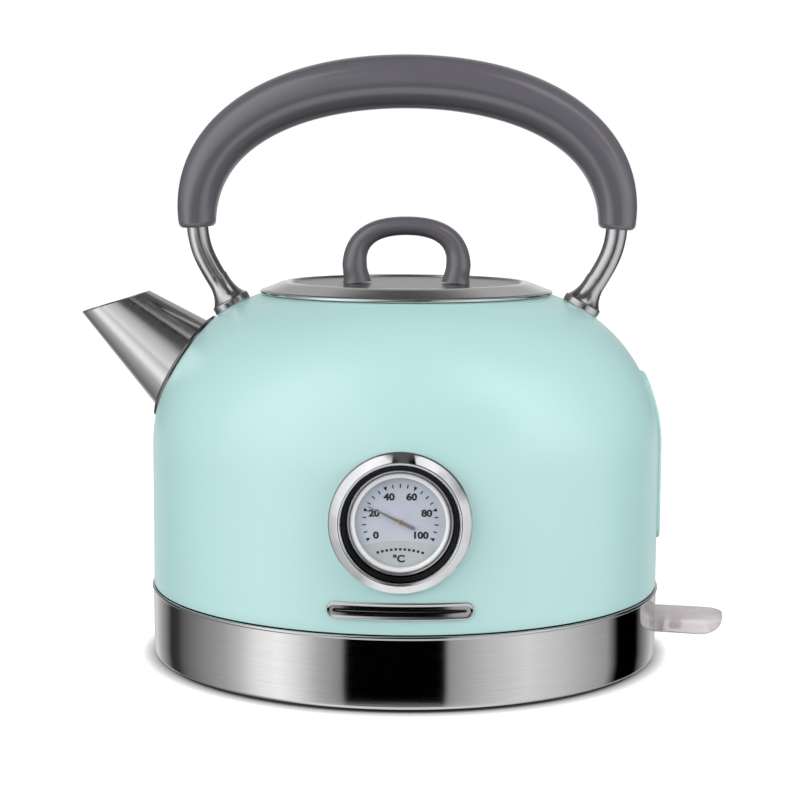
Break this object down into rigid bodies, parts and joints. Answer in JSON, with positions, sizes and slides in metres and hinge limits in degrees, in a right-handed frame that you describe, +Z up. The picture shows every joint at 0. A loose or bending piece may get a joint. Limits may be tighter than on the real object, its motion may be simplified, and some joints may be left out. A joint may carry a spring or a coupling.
{
  "type": "electric dome kettle with thermometer",
  "caption": "Retro dome electric kettle: painted vessel on a steel skirt, cone spout, fixed arched handle, lift-off lid, dial thermometer and rocker switch.",
  "frame": {"origin": "middle of the footprint, on the surface that the kettle stands on", "axes": "+Z up, -X towards the spout, +X towards the switch lever, -Y towards the thermometer"},
  "size_m": [0.2432, 0.1947, 0.2238],
  "materials": {
    "painted_shell": "glossy pale mint enamel",
    "brushed_steel": "finely brushed stainless steel, polished on the skirt",
    "fastener_steel": "plain bright steel",
    "soft_grip": "satin dark grey",
    "black_plastic": "fine matt black moulding",
    "chrome": "mirror polished",
    "dial": "satin blue-grey print ground",
    "needle": "satin dark grey",
    "clear": "clear polished",
    "smoked": "translucent smoky moulding",
    "lamp": "translucent red",
    "brass": "bright",
    "bimetal": "satin copper",
    "silicone": "translucent white",
    "switch_plastic": "natural white",
    "aluminium": "rolled"
  },
  "bodies": {
    "kettle": {"body_shell": "painted_shell", "window_frame": "painted_shell", "skirt_ring": "brushed_steel", "spout_cone": "brushed_steel", "spout_collar": "brushed_steel", "handle_bar": "brushed_steel", "foot_left": "brushed_steel", "foot_right": "brushed_steel", "floor_plate": "brushed_steel", "cover_screw_1": "fastener_steel", "cover_screw_2": "fastener_steel", "cover_screw_3": "fastener_steel", "handle_screw_left": "fastener_steel", "handle_screw_right": "fastener_steel", "heating_element": "fastener_steel", "grip_front": "soft_grip", "grip_rear": "soft_grip", "base_frame": "black_plastic", "bottom_cover": "black_plastic", "control_body": "black_plastic", "connector_socket": "black_plastic", "window_clamp": "black_plastic", "gauge_cup": "black_plastic", "gauge_nut": "black_plastic", "gauge_bezel": "chrome", "gauge_ring": "chrome", "name_plate": "chrome", "gauge_dial": "dial", "gauge_glass": "clear", "window_pane": "clear", "contact_pin": "brass", "contact_ring_inner": "brass", "contact_ring_outer": "brass", "probe_tube": "brass", "bimetal_coil": "bimetal", "dry_boil_disc": "bimetal", "steam_disc": "bimetal", "steam_tube": "silicone", "steam_grommet": "silicone", "window_seal": "silicone", "foot_gasket_left": "silicone", "foot_gasket_right": "silicone", "gauge_seal": "silicone", "heat_diffuser": "aluminium"},
    "lid": {"lid_shell": "brushed_steel", "lid_inner": "brushed_steel", "lid_gasket": "silicone", "lid_knob": "soft_grip", "lid_screw_left": "fastener_steel", "lid_screw_right": "fastener_steel"},
    "filter": {"spout_filter": "brushed_steel"},
    "switch": {"switch_lever": "smoked", "lever_pin": "fastener_steel", "indicator_lamp": "lamp"},
    "plunger": {"contact_plunger": "switch_plastic"},
    "pointer": {"gauge_pointer": "needle", "pointer_shaft": "brass"}
  },
  "joints": [
    {"name": "lid_lift", "type": "slide", "parent": "kettle", "child": "lid", "axis": [0, 0, 1], "range_m": [0, 0.035]},
    {"name": "filter_pull", "type": "slide", "parent": "kettle", "child": "filter", "axis": [0.7727, 0, -0.6347], "range_m": [0, 0.015]},
    {"name": "switch_rock", "type": "hinge", "parent": "kettle", "child": "switch", "pos_m": [0.084, 0, 0.0115], "axis": [0, 1, 0], "range_deg": [0, 8]},
    {"name": "plunger_slide", "type": "slide", "parent": "kettle", "child": "plunger", "axis": [0, 0, 1], "range_m": [0, 0.0036]},
    {"name": "pointer_turn", "type": "hinge", "parent": "kettle", "child": "pointer", "pos_m": [0, -0.0932, 0.065], "axis": [0, -1, 0], "range_deg": [-182.5, 54.5]}
  ],
  "couplings": [
    {"joint": "plunger_slide", "follows": "switch_rock", "m_per_rad": 0.024}
  ]
}
